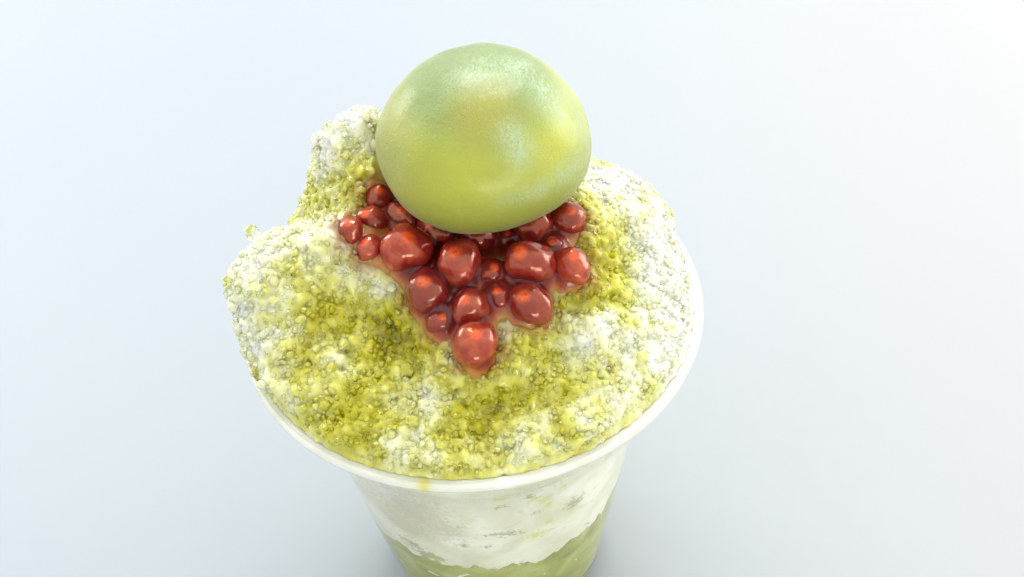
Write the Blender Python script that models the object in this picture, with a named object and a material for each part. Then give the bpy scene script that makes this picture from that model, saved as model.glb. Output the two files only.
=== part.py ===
"""A green tea shaved ice in its clear plastic cup, with sweet red beans and a rice cake on top.

The origin is on the surface that the cup stands on, on the cup's axis. X runs to the right of the
served front, Y away from it and Z up. Sizes are metres; MM turns the millimetres below into them.
"""

import math

import bmesh
import bpy
from mathutils import Euler, Vector, noise

MM = 0.001

# The cup: a thin turned shell that flares into a rolled lip.
CUP_HEIGHT = 84 * MM
LIP_RADIUS = 49 * MM
LIP_INNER_RADIUS = 46.4 * MM
LIP_DEPTH = 2.8 * MM
NECK_RADIUS = 40.2 * MM
NECK_TOP = 75 * MM
NECK_BOTTOM = 70.6 * MM
WALL_TOP_RADIUS = 38.3 * MM
WALL_TOP = 70 * MM
FOOT_RADIUS = 26 * MM
FOOT_TOP = 3 * MM
FOOT_RING_OUTER = 24.2 * MM
FOOT_RING_INNER = 21.6 * MM
RECESS_RADIUS = 19.8 * MM
RECESS_DEPTH = 2.2 * MM
WALL = 0.8 * MM
FLOOR = 1.0 * MM
CUP_SEGMENTS = 48

# Clear space between pieces that touch.
TOUCH_GAP = 0.4 * MM
CUP_GAP = 0.7 * MM

# The ice: a bed that falls towards the front, with heaped lobes, inside a rounded edge.
BED_HEIGHT = 16.5 * MM
BED_SLOPE = 0.24
MOUND_FOOT_RADIUS = 46.0 * MM
TUCK_HEIGHT = 5 * MM
TUCK_WIDTH = 8 * MM
# The edge by azimuth in degrees: its radius in millimetres and how upright it stands.
EDGE = (
    (-180, 50.0, 5.2),
    (-165, 49.4, 5.2),
    (-150, 47.6, 3.8),
    (-120, 46.9, 3.0),
    (-90, 46.9, 3.0),
    (-45, 47.0, 2.6),
    (0, 47.4, 2.4),
    (30, 48.0, 2.8),
    (60, 48.3, 3.5),
    (100, 48.3, 4.0),
    (140, 48.3, 3.5),
    (160, 48.7, 4.4),
    (180, 50.0, 5.2),
)
# Each lobe: across, along, height, half-width across, half-width along, in millimetres.
LOBES = (
    (-20.8, 20, 23, 11.5, 10.5),
    (-36, -2, 9, 13, 12),
    (-21.5, -3, 3.5, 8.5, 8),
    (33, 10, 5, 10, 11),
    (2, 32, 10, 17, 9),
    (6, 14, 12, 16, 12),
    (-42, 22, -11, 10, 13),
    (24, -22, 5, 6, 4),
    (16, -17, -2.5, 6, 5),
    (4, -1, -5, 13, 7),
    (-1, -32, -1.5, 9, 6),
)
LOBE_STEEPNESS = 1.5
GRAIN_SIZE = 5.2 * MM
GRAIN_RELIEF = 1.7 * MM
CLUMP_SIZE = 12 * MM
CLUMP_RELIEF = 2.6 * MM
GRAIN_START = 1.2 * MM
GRAIN_FULL = 4 * MM
GRAIN_RIM_START = 1.0 * MM
GRAIN_RIM_END = 4.0 * MM
GRAIN_CENTRE_DEPTH = 15 * MM
MOUND_AZIMUTHS = 160
FLAT_RINGS = 27
FLAT_SHARE = 0.9
EDGE_RINGS = 14
ICE_KEPT_SHARE = 0.32

# The syrup-soaked green layer in the bottom of the cup, below the rim by this much.
GREEN_LEVEL = 53 * MM
GREEN_CLIMB = 9 * MM
GREEN_CLIMB_X = 30 * MM
GREEN_CLIMB_Y = -5 * MM
GREEN_CLIMB_WIDTH = 14 * MM
GREEN_RIPPLE = 1.4 * MM
GREEN_RIPPLE_SIZE = 11 * MM
GREEN_GAP = 0.9 * MM

# The rice cake: a plump dome with a flattened underside.
CAKE_X = 5.7 * MM
CAKE_Y = 8.9 * MM
CAKE_BOTTOM = 24.3 * MM
CAKE_RADIUS = 21.3 * MM
CAKE_LOWER = 11.5 * MM
CAKE_UPPER = 18.5 * MM
CAKE_LOWER_POWER = 2.6
CAKE_UPPER_POWER = 2.05
CAKE_SEGMENTS = 32
CAKE_CLEARANCE = 1.2 * MM

# The pool of bean syrup: its corners in plan, in millimetres, before they are rounded.
POOL_CORNERS = ((-19, 5), (-17, -1), (-8, -10), (-3, -23), (2, -24), (9, -16), (20, -9), (21, 0))
POOL_ROUND = 3.5 * MM
POOL_CENTRE = (0, -8 * MM)
POOL_THICKNESS = 1.5 * MM
POOL_EDGE = 0.5 * MM
POOL_SEGMENTS = 40
POOL_RINGS = 7
POOL_GAP = 0.8 * MM

# Each bean: across, along, radius, lift above the pool, in millimetres.
BEANS = (
    (-16.5, 7, 2.6, 0),
    (-18, 1, 2.7, 0),
    (-13, 3, 3.1, 0),
    (-21.5, -2.5, 2.4, 0),
    (-18.5, -5, 2.5, 0),
    (-13, -6, 4.4, 0),
    (-5.5, 0, 3.6, 0),
    (3, -0.5, 3.6, 0),
    (9, -1.5, 2.4, 0),
    (14.5, -1, 3.6, 0),
    (20, -0.5, 3.1, 0),
    (17.5, -6, 2.2, 0),
    (-2, -11, 4.2, 1),
    (4, -11.5, 2.6, 0),
    (12, -11.5, 4.2, 0.5),
    (20.5, -11.5, 3.4, 0),
    (-7.5, -14.5, 4, 0),
    (-0.5, -19.5, 3.5, 0),
    (-6, -20.5, 2.6, 0),
    (11, -18.5, 3.9, 0),
    (5.5, -17, 2.4, 0),
    (-0.2, -26.8, 4, 0),
)
BEAN_WIDTH_SHARE = 0.9
BEAN_THICKNESS_SHARE = 0.86
BEAN_SEGMENTS = 10
BEAN_RINGS = 7
BEAN_GAP = 0.35 * MM
SETTLING_ROUNDS = 40

# Colour, roughness and alpha of each material.
FINISHES = {
    "cup": ((0.93, 0.94, 0.93), 0.12, 0.35),
    "ice": ((0.74, 0.73, 0.36), 0.3, 1.0),
    "green_layer": ((0.37, 0.40, 0.19), 0.4, 1.0),
    "rice_cake": ((0.52, 0.58, 0.13), 0.42, 1.0),
    "bean": ((0.42, 0.05, 0.025), 0.2, 1.0),
    "bean_syrup": ((0.30, 0.05, 0.02), 0.1, 1.0),
}


def clear_scene():
    for item in list(bpy.data.objects):
        bpy.data.objects.remove(item)


def material(name):
    """The Principled material of that name, made once."""
    found = bpy.data.materials.get(name)
    if found:
        return found
    colour, roughness, alpha = FINISHES[name]
    made = bpy.data.materials.new(name)
    made.use_nodes = True
    surface = made.node_tree.nodes["Principled BSDF"]
    surface.inputs["Base Color"].default_value = (*colour, 1)
    surface.inputs["Roughness"].default_value = roughness
    surface.inputs["Alpha"].default_value = alpha
    made.diffuse_color = (*colour, alpha)
    return made


def add_object(name, mesh, finish):
    piece = bpy.data.objects.new(name, mesh)
    piece.data.materials.append(material(finish))
    bpy.context.scene.collection.objects.link(piece)
    return piece


def smoothstep(low, high, value):
    share = min(1, max(0, (value - low) / (high - low)))
    return share * share * (3 - 2 * share)


def turned(name, profile, segments, finish):
    """A solid of revolution: the profile runs from the axis up the inside, over and down the outside."""
    mesh = bpy.data.meshes.new(name)
    edges = [(i, i + 1) for i in range(len(profile) - 1)]
    mesh.from_pydata([(radius, 0, height) for radius, height in profile], edges, [])
    piece = add_object(name, mesh, finish)
    screw = piece.modifiers.new("turn", "SCREW")
    screw.steps = segments
    screw.render_steps = segments
    screw.use_merge_vertices = True
    screw.merge_threshold = 0.00001
    screw.use_smooth_shade = True
    return piece


def skin(name, rings, finish):
    """A closed mesh through rings of points, each the same length, with a fan at each end."""
    made = bmesh.new()
    rows = [[made.verts.new(point) for point in ring] for ring in rings]
    for upper, lower in zip(rows, rows[1:]):
        for i in range(len(upper)):
            j = (i + 1) % len(upper)
            made.faces.new((upper[i], lower[i], lower[j], upper[j]))
    for row, backwards in ((rows[0], False), (rows[-1], True)):
        centre = made.verts.new(sum((v.co for v in row), Vector()) / len(row))
        for i in range(len(row)):
            pair = (row[i], row[(i + 1) % len(row)])
            made.faces.new((centre, *(reversed(pair) if backwards else pair)))
    mesh = bpy.data.meshes.new(name)
    made.to_mesh(mesh)
    made.free()
    mesh.shade_smooth()
    return add_object(name, mesh, finish)


def around(count):
    return [2 * math.pi * i / count for i in range(count)]


def cup_outer():
    """The cup's outside from the lip's crown down to the foot ring and the recess."""
    lip_middle = CUP_HEIGHT - LIP_DEPTH / 2
    lip_bottom = CUP_HEIGHT - LIP_DEPTH
    return [
        (LIP_RADIUS - 1.8 * MM, CUP_HEIGHT),
        (LIP_RADIUS - 0.6 * MM, CUP_HEIGHT - 0.3 * MM),
        (LIP_RADIUS, lip_middle),
        (LIP_RADIUS - 0.7 * MM, lip_bottom + 0.2 * MM),
        (LIP_RADIUS - 2.4 * MM, lip_bottom),
        (LIP_RADIUS - 5.4 * MM, CUP_HEIGHT - 4.3 * MM),
        (NECK_RADIUS + 1.1 * MM, NECK_TOP + 2 * MM),
        (NECK_RADIUS, NECK_TOP),
        (NECK_RADIUS - 0.6 * MM, NECK_BOTTOM),
        (WALL_TOP_RADIUS, WALL_TOP),
        (FOOT_RADIUS, FOOT_TOP),
        (FOOT_RADIUS - 0.4 * MM, 1.2 * MM),
        (FOOT_RING_OUTER, 0),
        (FOOT_RING_INNER, 0),
        (RECESS_RADIUS, RECESS_DEPTH),
        (0, RECESS_DEPTH),
    ]


def cup_inner():
    """The cup's inside from its floor up to the lip's inner edge."""
    floor = RECESS_DEPTH + FLOOR
    return [
        (0, floor),
        (FOOT_RADIUS - 4 * MM, floor),
        (FOOT_RADIUS - WALL, floor + 1.6 * MM),
        (WALL_TOP_RADIUS - WALL, WALL_TOP),
        (NECK_RADIUS - WALL - 0.6 * MM, NECK_BOTTOM + 0.3 * MM),
        (NECK_RADIUS - WALL, NECK_TOP),
        (NECK_RADIUS + 0.2 * MM, NECK_TOP + 2.4 * MM),
        (LIP_RADIUS - 6.4 * MM, CUP_HEIGHT - 3.7 * MM),
        (LIP_INNER_RADIUS - 0.7 * MM, CUP_HEIGHT - 1.8 * MM),
        (LIP_INNER_RADIUS, CUP_HEIGHT - 0.6 * MM),
    ]


def make_cup():
    return turned("cup", cup_inner() + cup_outer(), CUP_SEGMENTS, "cup")


def green_top(x, y):
    """Height of the green layer's uneven top, which climbs the wall on one side."""
    climb_x = (x - GREEN_CLIMB_X) / GREEN_CLIMB_WIDTH
    climb_y = (y - GREEN_CLIMB_Y) / GREEN_CLIMB_WIDTH
    climb = GREEN_CLIMB * math.exp(-climb_x * climb_x - climb_y * climb_y)
    ripple = GREEN_RIPPLE * noise.noise(Vector((x, y, 0)) / GREEN_RIPPLE_SIZE)
    return CUP_HEIGHT - GREEN_LEVEL + climb + ripple


def contents_radius(height):
    """How far out the cup's contents reach at that height, just clear of the wall."""
    wall = cup_inner()[2:]
    for (low_radius, low), (high_radius, high) in zip(wall, wall[1:]):
        if height <= high:
            share = max(0, height - low) / (high - low)
            return low_radius + share * (high_radius - low_radius) - CUP_GAP
    return LIP_INNER_RADIUS - CUP_GAP


def wall_and_green_meet(angle, lift):
    """Radius and height at which the green layer's top, raised by lift, meets the wall's clear line."""
    height = CUP_HEIGHT - GREEN_LEVEL
    for _ in range(12):
        radius = contents_radius(height)
        height = green_top(radius * math.cos(angle), radius * math.sin(angle)) + lift
    return contents_radius(height), height


def make_green_layer():
    """The green layer: flat below, coned by the wall and uneven on top."""
    floor = RECESS_DEPTH + FLOOR + TOUCH_GAP
    angles = around(CUP_SEGMENTS)
    edge = [wall_and_green_meet(angle, 0) for angle in angles]
    rings = []
    for share in (0.25, 0.5, 0.75, 0.9):
        ring = []
        for angle, (radius, _) in zip(angles, edge):
            x, y = share * radius * math.cos(angle), share * radius * math.sin(angle)
            ring.append((x, y, green_top(x, y)))
        rings.append(ring)
    rings.append([(r * math.cos(a), r * math.sin(a), z) for a, (r, z) in zip(angles, edge)])
    for radius, height in (
        (FOOT_RADIUS - WALL - CUP_GAP, floor + 2 * MM),
        (FOOT_RADIUS - 4.4 * MM, floor),
    ):
        rings.append([(radius * math.cos(a), radius * math.sin(a), height) for a in angles])
    return skin("green_layer", rings, "green_layer")


def cake_underside(x, y):
    """Height of the rice cake's underside over a point, or None beside the cake."""
    reach = math.hypot(x - CAKE_X, y - CAKE_Y) / (CAKE_RADIUS + CAKE_CLEARANCE)
    if reach >= 1:
        return None
    drop = (1 - reach**CAKE_LOWER_POWER) ** (1 / CAKE_LOWER_POWER)
    return CUP_HEIGHT + CAKE_BOTTOM + CAKE_LOWER * (1 - drop)


def make_rice_cake():
    """The rice cake: a lower and an upper superellipse that meet at the widest ring."""
    middle = CUP_HEIGHT + CAKE_BOTTOM + CAKE_LOWER
    profile = []
    for step in range(5):
        turn = math.radians(90 - 18 * step)
        radius = CAKE_RADIUS * math.cos(turn) ** (2 / CAKE_LOWER_POWER)
        drop = CAKE_LOWER * math.sin(turn) ** (2 / CAKE_LOWER_POWER)
        profile.append((0 if step == 0 else radius, middle - drop))
    for step in range(10):
        turn = math.radians(10 * step)
        radius = CAKE_RADIUS * math.cos(turn) ** (2 / CAKE_UPPER_POWER)
        rise = CAKE_UPPER * math.sin(turn) ** (2 / CAKE_UPPER_POWER)
        profile.append((0 if step == 9 else radius, middle + rise))
    cake = turned("rice_cake", profile[::-1], CAKE_SEGMENTS, "rice_cake")
    cake.location = (CAKE_X, CAKE_Y, 0)
    return cake


def segment_distance(x, y, start, end):
    along_x, along_y = end[0] - start[0], end[1] - start[1]
    share = ((x - start[0]) * along_x + (y - start[1]) * along_y) / (along_x**2 + along_y**2)
    share = min(1, max(0, share))
    return math.hypot(x - start[0] - share * along_x, y - start[1] - share * along_y)


def outside_pool(x, y):
    """Distance outside the pool's outline in plan, negative inside it."""
    corners = [(across * MM, along * MM) for across, along in POOL_CORNERS]
    inside = False
    nearest = CUP_HEIGHT
    for a, b in zip(corners, corners[1:] + corners[:1]):
        nearest = min(nearest, segment_distance(x, y, a, b))
        if (a[1] > y) != (b[1] > y) and x < a[0] + (y - a[1]) * (b[0] - a[0]) / (b[1] - a[1]):
            inside = not inside
    return (-nearest if inside else nearest) - POOL_ROUND


def edge_at(angle):
    """Radius and uprightness of the heap's edge in that direction."""
    azimuth = (math.degrees(angle) + 180) % 360 - 180
    for (low, low_radius, low_power), (high, high_radius, high_power) in zip(EDGE, EDGE[1:]):
        if azimuth <= high:
            share = smoothstep(low, high, azimuth)
            radius = low_radius + share * (high_radius - low_radius)
            return radius * MM, low_power + share * (high_power - low_power)


def edge_factor(radius, edge_radius, power):
    """Share of the heaped height left at that radius: full in the middle, none at the edge."""
    return (1 - min(1, radius / edge_radius) ** power) ** (1 / power)


def heap_height(x, y):
    """Height of the heap above the rim before its edge is rounded off."""
    height = BED_HEIGHT + BED_SLOPE * min(y, 0)
    for across, along, rise, half_across, half_along in LOBES:
        off_x = (x / MM - across) / half_across
        off_y = (y / MM - along) / half_along
        height += rise * MM * math.exp(-((off_x * off_x + off_y * off_y) ** LOBE_STEEPNESS))
    return height


def ice_top(x, y, factor=None):
    """Height of the ice's smooth top at a point, kept under the rice cake."""
    if factor is None:
        factor = edge_factor(math.hypot(x, y), *edge_at(math.atan2(y, x)))
    height = CUP_HEIGHT + heap_height(x, y) * factor
    under = cake_underside(x, y)
    return height if under is None else min(height, under - TOUCH_GAP)


def grain_relief(point):
    """Height of the ice grains' rounded relief at a point."""
    nearest = noise.voronoi(point / GRAIN_SIZE)[0][0]
    grain = 1 - min(1, nearest / 0.75) ** 2
    clump = noise.noise(point / CLUMP_SIZE)
    return GRAIN_RELIEF * (grain - 0.5) + CLUMP_RELIEF * clump


def grain_share(x, y, height):
    """How much relief shows: none under the cake and the pool, nor where the ice meets the lip."""
    beside_cake = math.hypot(x - CAKE_X, y - CAKE_Y) - CAKE_RADIUS
    clear = min(beside_cake, outside_pool(x, y))
    above_rim = height - CUP_HEIGHT
    return smoothstep(GRAIN_START, GRAIN_FULL, clear) * smoothstep(GRAIN_RIM_START, GRAIN_RIM_END, above_rim)


def ice_point(angle, radius, factor):
    """A point of the ice's outside over the rim, with its tucked foot and its grains."""
    x, y = radius * math.cos(angle), radius * math.sin(angle)
    height = ice_top(x, y, factor)
    edge_radius, _ = edge_at(angle)
    tuck = edge_radius - MOUND_FOOT_RADIUS
    tuck *= smoothstep(edge_radius - TUCK_WIDTH, edge_radius, radius)
    tuck *= 1 - smoothstep(0, TUCK_HEIGHT, height - CUP_HEIGHT)
    x, y = (radius - tuck) * math.cos(angle), (radius - tuck) * math.sin(angle)
    point = Vector((x, y, height))
    share = grain_share(x, y, height)
    if share > 0:
        outward = (point - Vector((0, 0, CUP_HEIGHT - GRAIN_CENTRE_DEPTH))).normalized()
        point += outward * grain_relief(point) * share
        reach = math.hypot(point.x, point.y)
        if reach > edge_radius:
            point.x *= edge_radius / reach
            point.y *= edge_radius / reach
    return point


def ring_place(number, power):
    """Shares of the edge radius and of the heaped height at a ring, evenly out and then down."""
    if number <= FLAT_RINGS:
        share = FLAT_SHARE * number / FLAT_RINGS
        return share, edge_factor(share, 1, power)
    factor = edge_factor(FLAT_SHARE, 1, power) * (1 - (number - FLAT_RINGS) / EDGE_RINGS)
    return edge_factor(factor, 1, power), factor


def make_ice():
    """The ice: heaped over the rim, filling the cup down to the green layer."""
    angles = around(MOUND_AZIMUTHS)
    rings = []
    for i in range(1, FLAT_RINGS + EDGE_RINGS + 1):
        ring = []
        for angle in angles:
            edge_radius, power = edge_at(angle)
            share, factor = ring_place(i, power)
            ring.append(ice_point(angle, share * edge_radius, factor))
        rings.append(ring)
    for radius, height in cup_inner()[:2:-1]:
        clear = radius - CUP_GAP
        rings.append([(clear * math.cos(a), clear * math.sin(a), height) for a in angles])
    edge = [wall_and_green_meet(angle, GREEN_GAP) for angle in angles]
    rings.append([(r * math.cos(a), r * math.sin(a), z) for a, (r, z) in zip(angles, edge)])
    for share in (0.75, 0.5, 0.25):
        ring = []
        for angle, (radius, _) in zip(angles, edge):
            x, y = share * radius * math.cos(angle), share * radius * math.sin(angle)
            ring.append((x, y, green_top(x, y) + GREEN_GAP))
        rings.append(ring)
    ice = skin("ice", rings, "ice")
    thin = ice.modifiers.new("fewer_faces", "DECIMATE")
    thin.ratio = ICE_KEPT_SHARE
    return ice


def pool_reach(angle):
    """Distance from the pool's centre to its outline in that direction."""
    low, high = 0, 60 * MM
    for _ in range(30):
        middle = (low + high) / 2
        x = POOL_CENTRE[0] + middle * math.cos(angle)
        y = POOL_CENTRE[1] + middle * math.sin(angle)
        if outside_pool(x, y) < 0:
            low = middle
        else:
            high = middle
    return low


def pool_top(x, y):
    """Height of the syrup pool's upper face: the ice, a clear gap and the pool's thickness."""
    depth = smoothstep(0, POOL_ROUND, -outside_pool(x, y))
    return ice_top(x, y) + POOL_GAP + POOL_EDGE + POOL_THICKNESS * depth


def make_pool():
    """The syrup pool: a sheet of syrup that lies on the ice under the beans."""
    angles = around(POOL_SEGMENTS)
    reaches = [pool_reach(angle) for angle in angles]
    upper, lower = [], []
    for i in range(1, POOL_RINGS + 1):
        upper_ring, lower_ring = [], []
        for angle, reach in zip(angles, reaches):
            out = reach * i / POOL_RINGS
            x = POOL_CENTRE[0] + out * math.cos(angle)
            y = POOL_CENTRE[1] + out * math.sin(angle)
            upper_ring.append((x, y, pool_top(x, y)))
            lower_ring.append((x, y, ice_top(x, y) + POOL_GAP))
        upper.append(upper_ring)
        lower.append(lower_ring)
    return skin("bean_syrup", upper + lower[::-1], "bean_syrup")


def bean_height(x, y, radius, lift):
    """Height of a bean's centre when its round underside just clears the pool everywhere."""
    height = pool_top(x, y) + radius
    for angle in around(8):
        for share in (0.4, 0.7):
            over = share * radius
            side_x, side_y = x + over * math.cos(angle), y + over * math.sin(angle)
            drop = math.sqrt(radius * radius - over * over)
            height = max(height, pool_top(side_x, side_y) + drop)
    return height + BEAN_GAP + lift


def cake_gap(x, y, radius, height):
    """Clear space between a bean and the rice cake's underside, tested at points over the bean."""
    gap = radius * 2
    for angle in around(8):
        for share in (0, 0.5, 0.85):
            over = share * radius
            under = cake_underside(x + over * math.cos(angle), y + over * math.sin(angle))
            if under is not None:
                top = height + math.sqrt(radius * radius - over * over)
                gap = min(gap, under - top)
    return gap


def settled_beans():
    """The beans' centres and radii, pushed apart sideways until none touches another or the cake."""
    beans = [[x * MM, y * MM, radius * MM, lift * MM] for x, y, radius, lift in BEANS]
    for _ in range(SETTLING_ROUNDS):
        centres = [Vector((bean[0], bean[1], bean_height(*bean))) for bean in beans]
        for i, first in enumerate(beans):
            for j, second in enumerate(beans[:i]):
                between = centres[i] - centres[j]
                short = first[2] + second[2] + BEAN_GAP - between.length
                if short > 0:
                    aside = between.xy.normalized() * short * 0.5
                    first[0] += aside.x
                    first[1] += aside.y
                    second[0] -= aside.x
                    second[1] -= aside.y
        for bean, centre in zip(beans, centres):
            if cake_gap(bean[0], bean[1], bean[2], centre.z) < BEAN_GAP:
                away = Vector((bean[0] - CAKE_X, bean[1] - CAKE_Y)).normalized() * BEAN_GAP
                bean[0] += away.x
                bean[1] += away.y
    return beans


def bean_mesh(radius):
    """A bean: a ball drawn narrower one way, flatter another, with its seam side pressed in."""
    made = bmesh.new()
    bmesh.ops.create_uvsphere(
        made, u_segments=BEAN_SEGMENTS, v_segments=BEAN_RINGS, radius=radius
    )
    for vertex in made.verts:
        seam = smoothstep(0.3 * radius, radius, -vertex.co.y)
        middle = 1 - smoothstep(0.1 * radius, 0.9 * radius, abs(vertex.co.z))
        vertex.co.y *= BEAN_WIDTH_SHARE - 0.12 * seam * middle
        vertex.co.x *= BEAN_THICKNESS_SHARE
    mesh = bpy.data.meshes.new("bean")
    made.to_mesh(mesh)
    made.free()
    mesh.shade_smooth()
    return mesh


def make_beans():
    """The beans, each a piece of its own, turned by a fixed rule so that no two lie alike."""
    for number, (x, y, radius, lift) in enumerate(settled_beans(), 1):
        bean = add_object(f"bean_{number:02d}", bean_mesh(radius), "bean")
        bean.location = (x, y, bean_height(x, y, radius, lift))
        golden_turn = math.radians(137.5 * number)
        bean.rotation_euler = Euler((math.radians(90) + 0.5 * math.sin(golden_turn), 0.3, golden_turn))


def main():
    clear_scene()
    make_cup()
    make_green_layer()
    make_ice()
    make_pool()
    make_beans()
    make_rice_cake()


main()
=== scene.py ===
"""The look of a cup of green tea kakigori, set over the CAD model in the same frame, in metres."""

import math
from itertools import product

import bmesh
import bpy
import numpy as np
from mathutils import Matrix, Vector, noise
from mathutils.bvhtree import BVHTree

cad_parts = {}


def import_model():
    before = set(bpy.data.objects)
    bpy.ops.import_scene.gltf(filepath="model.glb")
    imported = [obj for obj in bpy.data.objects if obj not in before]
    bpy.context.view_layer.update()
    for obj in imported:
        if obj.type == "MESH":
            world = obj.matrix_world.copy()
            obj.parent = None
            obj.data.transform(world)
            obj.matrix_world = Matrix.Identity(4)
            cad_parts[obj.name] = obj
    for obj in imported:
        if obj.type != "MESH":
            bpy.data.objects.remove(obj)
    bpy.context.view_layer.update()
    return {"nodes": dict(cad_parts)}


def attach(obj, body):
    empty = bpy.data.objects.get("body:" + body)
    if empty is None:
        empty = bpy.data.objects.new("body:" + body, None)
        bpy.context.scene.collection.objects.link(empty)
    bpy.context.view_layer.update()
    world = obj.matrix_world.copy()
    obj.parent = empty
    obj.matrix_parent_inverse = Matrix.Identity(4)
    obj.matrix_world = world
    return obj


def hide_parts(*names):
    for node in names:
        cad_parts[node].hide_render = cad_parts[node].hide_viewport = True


MM = 0.001
SEED = 7
WELD = 0.002 * MM

# The cup, as in the CAD model. Its profiles are pairs of radius and height in millimetres.
RIM = 84 * MM
CUP_INSIDE = ((0, 3.2), (22, 3.2), (25.2, 4.8), (37.5, 70))
NECK_INSIDE = ((38.8, 70.9), (39.4, 75), (40.4, 77.4), (42.6, 80.3), (45.7, 82.2), (46.4, 83.4))
LIP_OUTSIDE = ((47.2, 84), (47.9, 83.7), (48.1, 83.85), (48.6, 83.6), (49, 82.6), (48.3, 81.4))
NECK_OUTSIDE = ((46.6, 81.2), (43.6, 79.7), (41.3, 77), (40.2, 75), (39.6, 70.6), (38.3, 70))
FOOT_OUTSIDE = ((26, 3), (25.6, 1.2), (24.2, 0), (21.6, 0), (19.8, 2.2), (0, 2.2))
CUP_FLOOR = CUP_INSIDE[0][1] * MM
WALL_START = CUP_INSIDE[2][1] * MM
LIP_INNER = 46.4 * MM
LIP_START_RADIUS = 40.8 * MM
LIP_START_HEIGHT = 77.6 * MM
AXIS_RADIUS = 0.05 * MM
CUP_SEGMENTS = 1200
RIBS = 300
RIB_HEIGHT = 0.2 * MM
RIB_LOW = 65.6 * MM
RIB_HIGH = 69.4 * MM
STEP_HEIGHTS = (65.4, 61.5)
STEP_DEPTH = 0.16
WALL_SWELL = 0.1
WALL_ROWS = (69.7, 69.4, 69.1, 67.5, 65.9, 65.6, 52, 40, 28, 16)
# Syrup dried on the lip: a run down it, and a ring in the neck that varies round the cup.
RUN_DEGREES = -105.5
RUN_HALF_WIDTH = 1.6
RING_HEIGHT = 79.6 * MM
RING_HALF_HEIGHT = 0.7 * MM
RING_DEGREES = (-180, -100, -60, -20, 60, 180)
RING_STRENGTHS = (0.1, 0.35, 0.6, 0.5, 0.2, 0.1)
DRIED_SYRUP_START = 78 * MM
# Marks on the packed ice behind the wall: degrees, then height, half width, half height in mm.
YELLOW_BITS = (
    (-73, 58.5, 2.6, 1.3), (-76.5, 60.5, 1.6, 0.8), (-71, 55.5, 1.0, 1.4), (-70.5, 47.5, 1.3, 0.9),
    (-75, 43.3, 3.2, 1.5), (-66, 61, 1.0, 1.2), (-88, 64, 1.5, 0.9), (95, 56, 2.5, 1.5),
    (160, 48, 2.0, 1.3), (20, 60, 2.4, 1.6),
)
OLIVE_SMUDGES = (
    (-86.5, 47.2, 2.6, 1.3), (-91.5, 47.6, 2.0, 0.6), (-88.3, 60, 1.6, 0.7),
    (-78.5, 62.3, 1.2, 0.8), (-76.4, 53.8, 1.6, 0.5), (-60, 50.5, 2.6, 1.8), (-103, 51.4, 1.6, 0.6),
    (-104, 42.4, 1.8, 0.7), (-94, 42.2, 1.2, 0.6), (-121, 33.5, 3.5, 1.6), (-128, 36.5, 3.0, 1.2),
    (60, 52, 2.5, 1.6), (120, 44, 2.8, 1.2), (-10, 55, 2.2, 1.4), (-160, 50, 2.4, 1.4),
)
# The grey hollows are painted shade, where the ice stands back from the wall.
GREY_HOLLOWS = (
    (-120, 54, 7.5, 7.0), (-112, 48, 5.0, 3.6), (-127, 46, 5.5, 4.5), (-70, 66, 7.0, 2.0),
    (45, 45, 7.0, 5.0), (150, 58, 8.0, 4.0),
)
# How far the ice and the green layer reach into the wall, so that no gap shows.
INTO_WALL = 0.15 * MM
GREEN_INTO_WALL = 0.22 * MM
# The packed ice behind the wall: spans of heights in millimetres with their rows, and its top.
FILL_ROWS = ((20, 70, 64), (70.4, 82.4, 16))
FILL_TOP = 82.6 * MM
FILL_TOP_RADIUS = 40 * MM
FILL_SEGMENTS = 420
FILL_PATCH_SIZE = 9 * MM
FILL_GREEN_REACH = 7 * MM

# The ice heap.
HEAP_FLOOR = RIM - 4 * MM
CORE_SINK = 0.5 * MM
CORE_DEPTH = 2.6 * MM
CORE_UNEVEN = 1.2 * MM
CORE_VOXEL = 0.8 * MM
# How deep in a pit the core counts for its colour: more syrup and painted shade.
CORE_PIT = 0.35
PIT_DEPTH = 0.9 * MM
PIT_SIZE = 5 * MM
RIM_GRAINS = 2600
HEAP_VOXEL = 0.42 * MM
HEAP_FACES = 130000
HEAP_CLEARNESS = 0.22
GRAIN_CLEARNESS = 0.4
CLUMP_HEIGHT = 0.9 * MM
CLUMP_SIZE = 6 * MM
RISEN_ICE = 4.4 * MM
# Kinds of grains: places tried for each, how few are large, how far they are lifted in their own
# radii, how far they stay off the rice cake, and room for their uneven shape.
PACKED = {"tries": 3, "few_large": 1.6, "lift": (-0.85, -0.1), "off_cake": 0.4 * MM, "swell": 1.2}
LOOSE = {"tries": 4, "few_large": 1.5, "lift": (-0.1, 0.6), "off_cake": 0.5 * MM, "swell": 1.25}
# How many grains, their least distance, their smallest and largest radius and how detailed they are.
PACKED |= {"count": 12000, "apart": 0.95 * MM, "radii": (0.5 * MM, 1.2 * MM), "detail": 2}
MILKY = LOOSE | {"count": 9500, "apart": 0.92 * MM, "radii": (0.34 * MM, 0.78 * MM), "detail": 1}
CHUNKS = LOOSE | {"count": 260, "apart": 4.5 * MM, "radii": (0.8 * MM, 1.2 * MM), "detail": 2}
CLEAR = LOOSE | {"count": 3400, "apart": 1.5 * MM, "radii": (0.35 * MM, 0.85 * MM), "detail": 1}
# Clear bits at the left edge: place above the rim and radius, in millimetres.
LOOSE_BITS = (((-43.5, 4, 25), 1.7), ((-25, 17, 37.5), 1.2))
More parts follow.
